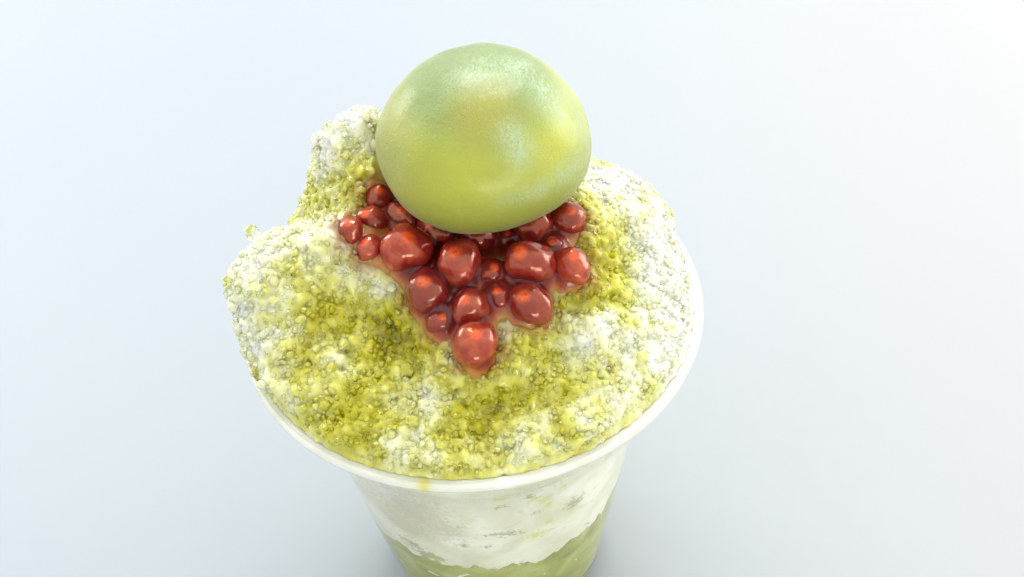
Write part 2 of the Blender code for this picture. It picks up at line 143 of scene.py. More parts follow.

# Where syrup has run off (less) or gathered (more), and painted light: place in millimetres, reach,
# change.
# Painted light: paler on the lit right side and the backlit tower at the back left, darker in shaded
# pits.
SOAK_AND_LIGHT_SPOTS = (
    ((-46, -8, 16), 9, -0.2), ((-41, -2, 23), 9, -0.2), ((-33, -1, 24), 9, -0.12),
    ((-24, 0, 23), 8, -0.18), ((-44, -16, 10), 8, -0.12), ((-20, 20, 40), 8, -0.35),
    ((-28, 17, 33), 7, -0.5), ((45, -7, 1), 12, -0.5), ((37, -23, 4), 9, -0.4),
    ((40, -2, 11), 11, -0.45), ((34, 12, 17), 10, -0.35), ((30, 20, 16), 9, -0.35),
    ((21, -24, 12), 6, -0.25), ((-17, -39, 5), 6, -0.1), ((-10, -32, 7), 5, -0.12),
    ((-5, -43, 3), 6, -0.1), ((10, -44, 3), 6, -0.1), ((22, -40, 2), 7, -0.15),
    ((29, 1, 17), 9, 0.4), ((26, -10, 13), 7, 0.5), ((27, -29, 7), 6, 0.15),
    ((13, -22, 10), 5, 0.3), ((-1, -38, 4), 6, 0.3), ((7, -34, 6), 7, 0.35),
    ((-9, -21, 11), 8, 0.35), ((-20, 10, 26), 7, 0.45), ((-27, -15, 14), 5, 0.25),
    ((-25, -32, 7), 8, 0.5), ((-17, -18, 11), 6, 0.3), ((-32, -14, 12), 7, 0.12),
)
SOAK_BASE = 0.42
# Uneven soaking: sizes and strength. The stain of the bean syrup: its ragged edge and its limit.
SOAK_WAVES = (11 * MM, 4 * MM)
SOAK_UNEVEN = 0.25
STAIN_SIZE = 2.5 * MM
STAIN_RAGGED = 1.6
STAIN_MOST = 0.75

# The green layer, as in the CAD model.
GREEN_LEVEL = 53 * MM
GREEN_CLIMB = 9 * MM
GREEN_CLIMB_PLACE = (30 * MM, -5 * MM)
GREEN_CLIMB_WIDTH = 14 * MM
GREEN_RIPPLE = 1.4 * MM
GREEN_RIPPLE_SIZE = 11 * MM
# The ragged edge of its top: layer of the noise, size and height in millimetres.
GREEN_RAGGED = ((4, 3.4, 2.4), (9, 1.3, 1.1))
SLUSH_SEGMENTS = 480
SLUSH_ROWS = 22
SLUSH_CORNER = 3.2 * MM
SLUSH_TOP_RINGS = (0.93, 0.8, 0.6, 0.35, 0.02)

# The rice cake, as in the CAD model.
CAKE_PLACE = (5.7 * MM, 8.9 * MM)
CAKE_BOTTOM = RIM + 24.3 * MM
CAKE_RADIUS = 21.3 * MM
CAKE_LOWER = 11.5 * MM
CAKE_UPPER = 18.5 * MM
CAKE_LOWER_POWER = 2.6
CAKE_UPPER_POWER = 2.05
CAKE_SEGMENTS = 144
CAKE_RINGS = 60

# Pale fibrous sheen on the dough: place above the rim in millimetres, reach, strength.
DOUGH_SHEENS = (
    ((2.5, 7, 54), 4, 0.5), ((7.5, 11, 54), 4.5, 0.6), ((14.2, 10.4, 52.8), 4, 0.9),
    ((18.4, 5.1, 50.5), 4, 0.9), ((19.7, 1, 48.1), 3.5, 0.7), ((10.5, -5.5, 49), 2.8, 0.9),
    ((12, -7.9, 45.9), 3.2, 0.9), ((8.3, -12, 38.7), 2.2, 0.4), ((12, -11, 38.5), 2.2, 0.5),
    ((15.5, -9.9, 38.4), 2.3, 0.7), ((19.8, -6.6, 38.8), 2.4, 0.8), ((22.7, -3.6, 38.3), 2.4, 0.8),
    ((25, 2.7, 41.7), 4, 0.6), ((23.7, 10.3, 45.8), 5, 0.7), ((-8, 24, 50), 5, 0.5),
    ((-2, 28, 44), 4, 0.6),
)

# Soft unevenness of the dough: size and height in millimetres.
DOUGH_WAVES = ((13, 0.8), (5, 0.2))
# In millimetres above the rim: the place of its painted warm reflection, and for its painted shade
# its bottom and height.
DOUGH_WARM_PLACE = (6, -1, 51)
DOUGH_LOW = 24.3
DOUGH_HEIGHT = 30

# The beans. Their width, depth and length, dents and swellings are in their own radii.
BEAN_NAMES = [f"bean_{number:02d}" for number in range(1, 23)]
BEAN_FORM = (0.88, 0.95, 1.06)
BEAN_DENT = 0.14
BEAN_SWELL = 0.17
BEAN_WRINKLE = 0.02
GOLDEN_DEGREES = 137.5
# A painted orange highlight on each bean: the side it faces and how far it spreads.
BEAN_GLOW_SIDE = (-0.1, -0.3, 0.95)
BEAN_GLOW_SPAN = (0.93, 0.985)
# How dark each bean is, bean_01 first.
BEAN_DEPTHS = (
    0.6, 0.5, 0.2, 0.4, 0.3, 0.05, 0.2, 0.7, 0.9, 0.3, 0.35,
    0.3, 0.25, 0.6, 0.35, 0.1, 0.8, 0.45, 0.7, 0.6, 0.7, 0.2,
)

# The bean syrup.
GEL_SINK = 1.2 * MM
GEL_THIN = 0.45 * MM
GEL_BURIED = -0.7 * MM
GEL_REACH = 0.1 * MM
GEL_CROWD_REACH = 2.0 * MM
GEL_FACES = 70000
GEL_SMOOTHING = 6
# How wide a bean counts, in its radii, for how crowded a place is and for the syrup's level.
CROWD_WIDTH = 1.9
LEVEL_WIDTH = 1.5
GEL_LOW = (-27 * MM, -34 * MM)
GEL_HIGH = (27 * MM, 11 * MM)
GEL_STEP = 0.5 * MM
GEL_NEAR = -0.6 * MM
GEL_LOW_FILL = -0.28
GEL_FILL_GAIN = 0.75
GEL_VOXEL = 0.4 * MM

# The light: a sky that is brighter behind and above, and four wide lamps.
SKY_TINT = (0.965, 0.98, 1.0, 1)
SKY_BRIGHT_SIDE = (0.2, 0.7, 0.6)
SKY_DARK = 0.95
SKY_LIGHT = 1.55
LAMP_TARGET = (0, 0, 0.1)
# Name, place, size, power and colour of each lamp.
LAMPS = (
    ("window", (0.1, 0.42, 0.66), (0.3, 0.22), 3.3, (1.0, 0.99, 0.96)),
    ("side", (0.68, 0.2, 0.16), (0.4, 0.4), 2.2, (1.0, 0.99, 0.97)),
    ("back", (-0.5, 0.45, 0.28), (0.3, 0.3), 1.9, (1.0, 1.0, 0.98)),
    ("front", (0.2, -0.8, 0.08), (0.5, 0.2), 2.3, (0.96, 0.98, 1.0)),
)
FLOOR_HALF = 4

# The camera: position, and its right, up and back directions.
CAMERA_PLACE = (0, -0.2251929, 0.31053321)
CAMERA_RIGHT = (0.99357928, -0.09666478, -0.05878884)
CAMERA_UP = (0.10977027, 0.69780462, 0.7078271)
CAMERA_BACK = (-0.02739883, -0.70973561, 0.70393513)
FOCAL_PIXELS = 1500
IMAGE_WIDTH = 1024
SENSOR_WIDTH = 36


def smoothstep(low, high, value):
    share = np.clip((value - low) / (high - low), 0, 1)
    return share * share * (3 - 2 * share)


def linear(value):
    value /= 255
    return value / 12.92 if value <= 0.04045 else ((value + 0.055) / 1.055) ** 2.4


def colour(red, green, blue):
    return (linear(red), linear(green), linear(blue), 1.0)


# Ice colours from hardly to fully soaked, in pits (more syrup and painted shade), and where the bean
# syrup ran into it.
ICE_SHADES = (
    (0.0, 253, 253, 232),
    (0.25, 245, 246, 196),
    (0.5, 223, 220, 112),
    (0.75, 202, 195, 30),
    (1.0, 158, 150, 4),
)
PIT_SOAK_AND_SHADE = colour(170, 158, 84)
STAINED_ICE = colour(172, 112, 62)
# Marks on the packed ice: name, where their edge starts and ends, strength and colour.
# The grey marks are painted shade in hollows of the packed ice.
PACKED_ICE_MARKS = (
    ("grey", 0.35, 0.6, 0.6, 202, 198, 172),
    ("olive", 0.5, 0.62, 0.7, 162, 158, 112),
    ("yellow", 0.52, 0.7, 0.7, 212, 210, 104),
)


# Meshes


def mesh_from(name, points, faces):
    """A mesh of triangles or of quads, from arrays of points and of corner numbers."""
    points = np.asarray(points, dtype=np.float32)
    faces = np.asarray(faces, dtype=np.int32)
    sides = faces.shape[1]
    mesh = bpy.data.meshes.new(name)
    mesh.vertices.add(len(points))
    mesh.vertices.foreach_set("co", points.ravel())
    mesh.loops.add(faces.size)
    mesh.loops.foreach_set("vertex_index", faces.ravel())
    mesh.polygons.add(len(faces))
    mesh.polygons.foreach_set("loop_start", np.arange(0, faces.size, sides, dtype=np.int32))
    mesh.update(calc_edges=True)
    mesh.validate()
    return mesh


def piece(name, mesh, material, slot, *nodes):
    """A visible piece that rides with the part and stands for those CAD nodes."""
    made = bpy.data.objects.new(name, mesh)
    bpy.context.scene.collection.objects.link(made)
    mesh.shade_smooth()
    mesh.materials.append(material)
    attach(made, "root")
    if nodes:
        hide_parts(*nodes)
    return made


def points_of(mesh, what="co"):
    """The places of the mesh's points, or with "normal" the ways they face."""
    found = np.empty(len(mesh.vertices) * 3, dtype=np.float32)
    mesh.vertices.foreach_get(what, found)
    return found.reshape(-1, 3)


def triangles_of(mesh):
    mesh.calc_loop_triangles()
    corners = np.empty(len(mesh.loop_triangles) * 3, dtype=np.int32)
    mesh.loop_triangles.foreach_get("vertices", corners)
    return corners.reshape(-1, 3)


def crossed(points, triangles):
    """For each triangle its direction, as long as twice its area."""
    first, second, third = (points[triangles[:, corner]] for corner in range(3))
    return np.cross(second - first, third - first)


def welded(mesh):
    """Points, triangles and outward directions of a mesh whose faces don't share points."""
    places = points_of(mesh).astype(float)
    _, first, which = np.unique(
        np.round(places / WELD).astype(int), axis=0, return_index=True, return_inverse=True
    )
    points = places[first]
    faces = which.reshape(-1)[triangles_of(mesh)]
    normals = np.zeros(points.shape)
    for corner in range(3):
        np.add.at(normals, faces[:, corner], crossed(points, faces))
    normals /= np.maximum(np.linalg.norm(normals, axis=1, keepdims=True), 1e-12)
    return points, faces, normals


def tree_of(node):
    mesh = node.data
    return BVHTree.FromPolygons(points_of(mesh).tolist(), triangles_of(mesh).tolist())


def changed(mesh, name, steps):
    """A copy of a mesh after modifiers, each given by its kind and its settings."""
    carrier = bpy.data.objects.new(name, mesh)
    bpy.context.scene.collection.objects.link(carrier)
    for kind, settings in steps:
        modifier = carrier.modifiers.new(kind, kind)
        for setting, value in settings.items():
            setattr(modifier, setting, value)
    seen = carrier.evaluated_get(bpy.context.evaluated_depsgraph_get())
    made = bpy.data.meshes.new_from_object(seen)
    bpy.data.objects.remove(carrier)
    made.name = name
    return made


def fused(points, faces, name, voxel, most_faces, smoothing=0):
    """Overlapping closed shells as one skin, with no more than that many triangles."""
    mesh = mesh_from(name, points, faces)
    steps = [("REMESH", {"mode": "VOXEL", "voxel_size": voxel})]
    if smoothing:
        steps.append(("SMOOTH", {"iterations": smoothing, "factor": 0.5}))
    made = changed(mesh, name, steps)
    count = len(triangles_of(made))
    if count > most_faces:
        made = changed(made, name, [("DECIMATE", {"ratio": most_faces / count})])
    return made


def add_values(mesh, name, values):
    """A number for each point of the mesh, which the material reads."""
    layer = mesh.attributes.new(name, "FLOAT", "POINT")
    layer.data.foreach_set("value", np.asarray(values, dtype=np.float32))


def lathe(profile, segments):
    """Points and quads of a profile of (radius, height) turned round the upright axis."""
    angles = np.linspace(0, 2 * math.pi, segments, endpoint=False)
    radius, height = np.hsplit(np.asarray(profile), 2)
    sides = [radius * np.cos(angles), radius * np.sin(angles), height + 0 * angles]
    starts = np.arange(len(profile) - 1) * segments
    ring, step = np.meshgrid(starts, np.arange(segments), indexing="ij")
    after = (step + 1) % segments
    above = ring + segments
    corners = [ring + step, ring + after, above + after, above + step]
    return np.stack(sides, axis=-1).reshape(-1, 3), np.stack(corners, axis=-1).reshape(-1, 4)


def ball(detail):
    """Points and triangles of a round ball of radius one."""
    made = bmesh.new()
    bmesh.ops.create_icosphere(made, subdivisions=detail, radius=1)
    points = np.array([vertex.co[:] for vertex in made.verts])
    faces = np.array([[vertex.index for vertex in face.verts] for face in made.faces])
    made.free()
    return points, faces


def random_turns(count, chance):
    """Rotation matrices spread evenly over all directions."""
    parts = chance.normal(size=(count, 4))
    parts /= np.linalg.norm(parts, axis=1, keepdims=True)
    w, x, y, z = parts.T
    rows = [
        [1 - 2 * (y * y + z * z), 2 * (x * y - z * w), 2 * (x * z + y * w)],
        [2 * (x * y + z * w), 1 - 2 * (x * x + z * z), 2 * (y * z - x * w)],
        [2 * (x * z - y * w), 2 * (y * z + x * w), 1 - 2 * (x * x + y * y)],
    ]
    return np.array(rows).transpose(2, 0, 1)


def lumps(centres, radii, chance, detail=2, roughness=0.14):
    """Points and triangles of many irregular rounded lumps."""
    shape, faces = ball(detail)
    count = len(centres)
    stretch = chance.uniform(0.72, 1.35, size=(count, 1, 3))
    uneven = chance.uniform(1 - roughness, 1 + roughness, size=(count, len(shape), 1))
    grown = shape[None] * uneven * stretch * radii[:, None, None]
    turned = np.einsum("nij,nkj->nki", random_turns(count, chance), grown)
    points = turned + centres[:, None, :]
    corners = faces[None] + (np.arange(count) * len(shape))[:, None, None]
    return points.reshape(-1, 3), corners.reshape(-1, 3)


def joined(*parts):
    """Several pairs of points and triangles as one."""
    points, faces, start = [], [], 0
    for some_points, some_faces in parts:
        points.append(some_points)
        faces.append(np.asarray(some_faces) + start)
        start += len(some_points)
    return np.concatenate(points), np.concatenate(faces)


# Materials


def add_node(tree, kind, inputs=None, **settings):
    made = tree.nodes.new(kind)
    for name, value in settings.items():
        setattr(made, name, value)
    for name, value in (inputs or {}).items():
        if isinstance(value, bpy.types.NodeSocket):
            tree.links.new(value, made.inputs[name])
        else:
            made.inputs[name].default_value = value
    return made


def new_material(name):
    """An empty material, its node tree and the place on the piece."""
    made = bpy.data.materials.new(name)
    made.use_nodes = True
    made.node_tree.nodes.clear()
    return made, made.node_tree, place_on(made.node_tree)


def place_on(tree, *stretch):
    """The place on the piece, in millimetres."""
    found = add_node(tree, "ShaderNodeTexCoord").outputs["Object"]
    scaled = add_node(tree, "ShaderNodeMapping", {"Vector": found})
    scaled.inputs["Scale"].default_value = [value / MM for value in stretch or (1, 1, 1)]
    return scaled.outputs["Vector"]


def cloud(place, size, detail=3, rough=0.55, distortion=0):
    """Noise from 0 to 1 with features about that many millimetres wide."""
    inputs = {"Vector": place, "Scale": 1 / size, "Detail": detail}
    inputs |= {"Roughness": rough, "Distortion": distortion}
    return add_node(place.id_data, "ShaderNodeTexNoise", inputs).outputs[0]


def value_of(tree, name):
    return add_node(tree, "ShaderNodeAttribute", attribute_name=name).outputs["Fac"]


def maths(operation, first, second):
    inputs = {0: first, 1: second}
    return add_node(first.id_data, "ShaderNodeMath", inputs, operation=operation).outputs[0]


def times(first, second):
    return maths("MULTIPLY", first, second)


def swing(value, gain):
    """A value from 0 to 1 as a change to both sides of zero."""
    return times(maths("SUBTRACT", value, 0.5), gain)


def spread(value, low, high, to_low=0.0, to_high=1.0):
    """A value's range moved from low..high to another, smoothly and clamped."""
    inputs = {"Value": value, "From Min": low, "From Max": high}
    inputs |= {"To Min": to_low, "To Max": to_high}
    settings = {"interpolation_type": "SMOOTHSTEP"}
    return add_node(value.id_data, "ShaderNodeMapRange", inputs, **settings).outputs[0]


def ramp(value, *stops):
    """Colours along a value, each given as its place, red, green and blue."""
    made = add_node(value.id_data, "ShaderNodeValToRGB", {"Fac": value})
    band = made.color_ramp
    while len(band.elements) < len(stops):
        band.elements.new(0.5)
    for element, (where, *shade) in zip(band.elements, stops):
        element.position = where
        element.color = colour(*shade)
    return made.outputs["Color"]


def mixed(share, first, second, how="MIX"):
    inputs = {0: share, 6: first, 7: second}
    settings = {"data_type": "RGBA", "blend_type": how}
    return add_node(share.id_data, "ShaderNodeMix", inputs, **settings).outputs[2]


def tinted(shade, share, most, *tint):
    """A shade moved towards a colour, at most by that much."""
    return mixed(times(share, most), shade, colour(*tint))


def bump(height, strength, depth, normal=None):
    inputs = {"Height": height, "Strength": strength, "Distance": depth}
    if normal is not None:
        inputs["Normal"] = normal
    return add_node(height.id_data, "ShaderNodeBump", inputs).outputs["Normal"]


def milky(weight, reach, *radius):
    """How light scatters inside: how much, how far and the share of each colour."""
    return {"Subsurface Weight": weight, "Subsurface Radius": radius, "Subsurface Scale": reach}


def finished(made, inputs, tint=None):
    """The material with its shader; with a tint, it is clear to the rays that look for a lamp."""
    tree = made.node_tree
    shader = add_node(tree, "ShaderNodeBsdfPrincipled", inputs).outputs[0]
    if tint:
        path = add_node(tree, "ShaderNodeLightPath").outputs["Is Shadow Ray"]
        clear = add_node(tree, "ShaderNodeBsdfTransparent", {"Color": tint}).outputs[0]
        shader = add_node(tree, "ShaderNodeMixShader", {0: path, 1: shader, 2: clear}).outputs[0]
    add_node(tree, "ShaderNodeOutputMaterial", {"Surface": shader})
    return made


def ice_shade(tree, place, pit):
    """Colour of the ice: near white where syrup ran off, yellow-green where it soaked in."""
    soak = maths("ADD", value_of(tree, "soak"), swing(cloud(place, 2.4, 3), 0.4))
    soak = maths("ADD", soak, swing(value_of(tree, "tone"), 0.16))
    soak = maths("ADD", soak, times(pit, 0.25))
    shade = ramp(soak, *ICE_SHADES)
    # Pits painted darker: partly more syrup, partly painted shade.
    pit_soak_and_shade = times(times(pit, soak), 0.7)
    shade = mixed(pit_soak_and_shade, shade, PIT_SOAK_AND_SHADE, "MULTIPLY")
    return mixed(value_of(tree, "stain"), shade, STAINED_ICE)


def ice_material(name, clearness):
    """Wet grains of ice, slightly milky, over the soaked core."""
    made, tree, place = new_material(name)
    fine = cloud(place, 0.6, 4)
    pit = spread(value_of(tree, "depth"), 0.5, -1.1)
    normal = bump(cloud(place, 2.2, 3), 0.5, 0.5 * MM)
    inputs = {
        "Base Color": ice_shade(tree, place, pit),
        "Roughness": spread(fine, 0.3, 0.7, 0.05, 0.22),
        "IOR": 1.31,
        "Normal": bump(fine, 0.8, 0.25 * MM, normal),
        "Transmission Weight": clearness,
        **milky(1.0, 1.3 * MM, 1.0, 0.95, 0.55),
        "Specular IOR Level": 0.45,
        "Coat Weight": 0.5,
        "Coat Roughness": 0.03,
    }
    return finished(made, inputs)


def core_material():
    """The soaked ice deeper in the heap, darker as in a pit: more syrup and painted shade."""
    made, tree, place = new_material("soaked_ice")
    pit = add_node(tree, "ShaderNodeValue").outputs[0]
    pit.default_value = CORE_PIT
    inputs = {
        "Base Color": ice_shade(tree, place, pit),
        "Roughness": 0.5,
        "Normal": bump(cloud(place, 1.6, 3), 0.6, 0.5 * MM),
        **milky(1.0, 3.0 * MM, 1.0, 0.95, 0.5),
    }
    return finished(made, inputs)


def crystal_material():
    """Clear wet grains."""
    made, tree, place = new_material("clear_ice")
    fine = cloud(place, 0.8, 3)
    inputs = {
        "Base Color": ramp(fine, (0.3, 236, 238, 200), (0.7, 252, 253, 250)),
        "Roughness": spread(fine, 0.3, 0.7, 0.02, 0.14),
        "IOR": 1.31,
        "Transmission Weight": 1.0,
        "Normal": bump(fine, 0.35, 0.2 * MM),
    }
    return finished(made, inputs, (0.93, 0.94, 0.9, 1))


def fill_material():
    """Ice pressed against the inside of the cup: cream white, syrup bits, painted shade in hollows.
    """
    made, tree, place = new_material("packed_ice")
    broad = cloud(place, 11, 3, 0.5, 0.6)
    hollow = spread(cloud(place_on(tree, 1, 1, 1.5), 7, 5, 0.6, 0.9), 0.6, 0.64)
    ragged = swing(cloud(place_on(tree, 1, 1, 1.6), 1.1, 5, 0.7, 1.0), 3.2)
    green = spread(maths("ADD", value_of(tree, "green"), hollow), 1.25, 1.4)
    fine = cloud(place, 0.7, 4, 0.65)
    shade = ramp(broad, (0.35, 220, 218, 188), (0.5, 229, 228, 204), (0.65, 240, 239, 221))
    # Painted shade: a mottled grey in hollows of the packed ice.
    shade = tinted(shade, hollow, 0.35, 210, 206, 176)
    for name, low, high, most, *tint in PACKED_ICE_MARKS:
        mark = spread(maths("ADD", value_of(tree, name), ragged), low, high)
        shade = tinted(shade, mark, most, *tint)
    shade = tinted(shade, value_of(tree, "soak"), 1, 226, 220, 140)
    inputs = {
        "Base Color": tinted(shade, green, 0.9, 184, 190, 128),
        "Roughness": spread(fine, 0.3, 0.7, 0.3, 0.6),
        **milky(0.5, 1.2 * MM, 1.0, 0.95, 0.7),
        "Normal": bump(fine, 0.5, 0.3 * MM),
    }
    return finished(made, inputs)


def slush_material():
    """Soaked green slush with a few white lumps."""
    made, tree, place = new_material("green_slush")
    broad = cloud(place, 8, 3, 0.5, 0.5)
    lump = spread(cloud(place, 3.4, 2, 0.5, 0.6), 0.69, 0.73)
    fine = cloud(place, 1.0, 4)
    shade = ramp(broad, (0.3, 146, 150, 70), (0.5, 170, 174, 90), (0.7, 192, 194, 122))
    inputs = {
        "Base Color": tinted(shade, lump, 0.8, 240, 242, 228),
        "Roughness": spread(fine, 0.3, 0.7, 0.25, 0.5),
        **milky(0.6, 2 * MM, 1.0, 1.0, 0.6),
        "Normal": bump(fine, 0.3, 0.3 * MM),
    }
    return finished(made, inputs)


def cup_material():
    """Clear plastic with faint scuffs."""
    made, tree, place = new_material("clear_plastic")
    scuffs = cloud(place_on(tree, 1, 1, 0.15), 1.6, 4, 0.6)
    waves = cloud(place, 9, 2)
    inputs = {
        "Base Color": ramp(waves, (0.3, 247, 249, 249), (0.7, 254, 254, 254)),
        "Roughness": spread(scuffs, 0.35, 0.75, 0.02, 0.12),
        "IOR": 1.5,
        "Transmission Weight": 1.0,
        "Normal": bump(waves, 0.1, 0.3 * MM),
    }
    return finished(made, inputs, (0.95, 0.96, 0.96, 1))


def lip_material():
    """The thick rolled lip and neck: milky, with syrup dried on it."""
    made, tree, place = new_material("milky_plastic")
    along = cloud(place_on(tree, 1, 1, 3), 6, 3)
    fine = cloud(place, 1.5, 3)
    shade = ramp(along, (0.3, 229, 229, 210), (0.55, 237, 237, 222), (0.75, 246, 246, 236))
    inputs = {
        "Base Color": tinted(shade, value_of(tree, "soak"), 1, 226, 218, 134),
        "Roughness": spread(fine, 0.3, 0.7, 0.12, 0.26),
        "IOR": 1.45,
        "Transmission Weight": 0.2,
        **milky(0.8, 2 * MM, 1.0, 1.0, 0.9),
        "Normal": bump(fine, 0.12, 0.2 * MM),
    }
    return finished(made, inputs)


def dough_material():
    """Soft rice dough: yellow-green, finely wrinkled, with painted sheen and painted shade."""
    made, tree, place = new_material("rice_dough")
    broad = cloud(place, 13, 2, 0.5)
    wrinkles = cloud(place_on(tree, 1.0, 0.5, 0.8), 0.8, 4, 0.62, 1.8)
    # Painted sheen: pale blue-white fibres where the sky and lamps would reflect.
    fibrous_sheen = times(value_of(tree, "painted_sheen"), spread(wrinkles, 0.4, 0.6, 0.25, 1))
    shade = ramp(broad, (0.3, 168, 174, 50), (0.5, 177, 181, 54), (0.7, 184, 186, 54))
    # Painted shade: the bottom and the left side of the dough darker.
    shade = tinted(shade, value_of(tree, "low"), 0.85, 112, 118, 26)
    # Painted shade and sheen: the top painted darker and bluer, against the lamps above.
    shade = tinted(shade, value_of(tree, "crown"), 0.85, 106, 130, 64)
    # Painted reflection: a warm, darker patch at the front of the top.
    shade = tinted(shade, value_of(tree, "warm"), 0.7, 160, 154, 34)
    normal = bump(cloud(place, 3, 4, 0.6, 0.5), 0.35, 0.35 * MM)
    inputs = {
        "Base Color": tinted(shade, fibrous_sheen, 0.8, 176, 197, 164),
        "Roughness": spread(wrinkles, 0.3, 0.7, 0.32, 0.46),
        "Normal": bump(wrinkles, 0.9, 0.3 * MM, normal),
        **milky(0.5, 3 * MM, 1.0, 0.95, 0.3),
        "Sheen Weight": 0.2,
        "Sheen Roughness": 0.4,
        "Sheen Tint": (0.8, 0.92, 1.0, 1),
        "Coat Weight": 0.3,
        "Coat Roughness": 0.22,
    }
    return finished(made, inputs)


def bean_material():
    """Soft red beans, glossy with syrup, their skins mottled, with a painted orange highlight."""
    made, tree, place = new_material("red_bean")
    broad = cloud(place, 3.4, 3, 0.5, 0.4)
    fine = cloud(place, 0.7, 4, 0.6, 0.6)
    shade = ramp(broad, (0.3, 132, 30, 26), (0.5, 158, 44, 34), (0.72, 188, 90, 60))
    shade = tinted(shade, spread(fine, 0.6, 0.8, 0, 0.35), 1, 206, 120, 88)
    shade = tinted(shade, value_of(tree, "deep"), 1, 112, 24, 32)
    # Painted orange highlight, from the glow values.
    glow = times(value_of(tree, "glow"), spread(fine, 0.35, 0.5, 0.3, 0.9))
    normal = bump(broad, 0.6, 0.5 * MM)
    inputs = {
        "Base Color": tinted(shade, glow, 1, 222, 86, 36),
        "Roughness": spread(fine, 0.3, 0.7, 0.04, 0.12),
        "Normal": bump(fine, 0.3, 0.15 * MM, normal),
        **milky(0.9, 3.0 * MM, 1.0, 0.35, 0.2),
        "Specular IOR Level": 1.0,
        "Specular Tint": (1.0, 0.5, 0.2, 1),
        "Coat Weight": 0.6,
        "Coat Roughness": 0.02,
        "Coat IOR": 1.5,
    }
    return finished(made, inputs)


def gel_material():
    """Cloudy bean syrup: amber where it is thin, red-brown where it is deep."""
    made, tree, place = new_material("bean_syrup")
    streaks = cloud(place, 1.1, 3, 0.5, 1.0)
    waves = swing(cloud(place, 2.6, 2), 0.5)
    deep = maths("ADD", value_of(tree, "thick"), waves)
    shades = ((0, 212, 156, 84), (0.3, 180, 92, 56), (0.65, 142, 44, 36), (1, 112, 24, 26))
    inputs = {
        "Base Color": ramp(deep, *shades),
        "Roughness": spread(streaks, 0.3, 0.7, 0.02, 0.08),
        "IOR": 1.42,
        "Transmission Weight": 0.3,
        **milky(1.0, 2.0 * MM, 1.0, 0.5, 0.3),
        "Specular IOR Level": 0.35,
        "Coat Weight": 0.3,
        "Coat Roughness": 0.02,
        "Normal": bump(streaks, 0.5, 0.3 * MM),
    }
    return finished(made, inputs, (0.85, 0.6, 0.5, 1))


def floor_material():
    """A pale smooth table, with painted light making it a little lighter to the right."""
    made, tree, place = new_material("pale_table")
    shade = ramp(cloud(place, 260, 2), (0.3, 160, 167, 172), (0.7, 164, 171, 175))
    # Painted light: the table lighter towards the right.
    sideways = add_node(tree, "ShaderNodeSeparateXYZ", {"Vector": place}).outputs["X"]
    inputs = {
        "Base Color": tinted(shade, spread(sideways, -60, 320), 1, 180, 178, 176),
        "Roughness": spread(cloud(place, 4, 2), 0.3, 0.7, 0.5, 0.6),
        "Specular IOR Level": 0.2,
    }
    return finished(made, inputs)


# The cup


def rounded(profile):
    """A profile with its corners cut, its two ends kept."""
    points = [np.array(point, dtype=float) for point in profile]
    cut = [points[0]]
    for first, second in zip(points, points[1:]):
        cut += [0.75 * first + 0.25 * second, 0.25 * first + 0.75 * second]
    return cut + [points[-1]]


def wall_profile():
    """The outer wall from top to bottom, with rows close together where ribs and steps are."""
    top_radius, top = NECK_OUTSIDE[-1]
    low_radius, low = FOOT_OUTSIDE[0]
    rows = list(WALL_ROWS)
    for step in STEP_HEIGHTS:
        rows += [step + 0.1, step - 0.25]
    wall = []
    for height in sorted(rows, reverse=True):
        share = (top - height) / (top - low)
        radius = top_radius + share * (low_radius - top_radius)
        steps_passed = sum(height < step for step in STEP_HEIGHTS)
        radius += WALL_SWELL - STEP_DEPTH * steps_passed * (1 - share)
        wall.append(np.array((radius, height)))
    return wall


def make_cup():
    floor, neck = rounded(CUP_INSIDE), rounded(NECK_INSIDE + LIP_OUTSIDE + NECK_OUTSIDE)
    profile = np.array(floor + neck + wall_profile() + rounded(FOOT_OUTSIDE)) * MM
    profile[0, 0] = profile[-1, 0] = AXIS_RADIUS
    points, faces = lathe(profile, CUP_SEGMENTS)
    radius = np.hypot(points[:, 0], points[:, 1])
    angle = np.arctan2(points[:, 1], points[:, 0])
    ring = np.repeat(np.arange(len(profile)), CUP_SEGMENTS)
    outside = ring >= len(floor) + len(rounded(NECK_INSIDE))
    band = outside & (points[:, 2] > RIB_LOW) & (points[:, 2] < RIB_HIGH)
    rib = RIB_HEIGHT * np.cos(angle * RIBS) * band
    points[:, 0] += rib * np.cos(angle)
    points[:, 1] += rib * np.sin(angle)
    mesh = mesh_from("cup_clear", points, faces[:, ::-1])
    piece("cup_clear", mesh, cup_material(), "cup", "cup")
    mesh.materials.append(lip_material())
    high = points[:, 2][faces].mean(axis=1) > LIP_START_HEIGHT
    lip = high & (radius[faces].mean(axis=1) > LIP_START_RADIUS)
    mesh.polygons.foreach_set("material_index", lip.astype(np.int32))
    degrees = np.degrees(angle)
    dried = np.exp(-(((degrees - RUN_DEGREES) / RUN_HALF_WIDTH) ** 2))
    near_ring = np.exp(-(((points[:, 2] - RING_HEIGHT) / RING_HALF_HEIGHT) ** 2))
    dried += near_ring * np.interp(degrees, RING_DEGREES, RING_STRENGTHS)
    add_values(mesh, "soak", np.clip(dried, 0, 1) * (points[:, 2] > DRIED_SYRUP_START))


def wall_radius(height):
    """Inside radius of the cup at that height."""
    wall = np.array(CUP_INSIDE[2:] + NECK_INSIDE) * MM
    return np.interp(height, wall[:, 1], wall[:, 0])


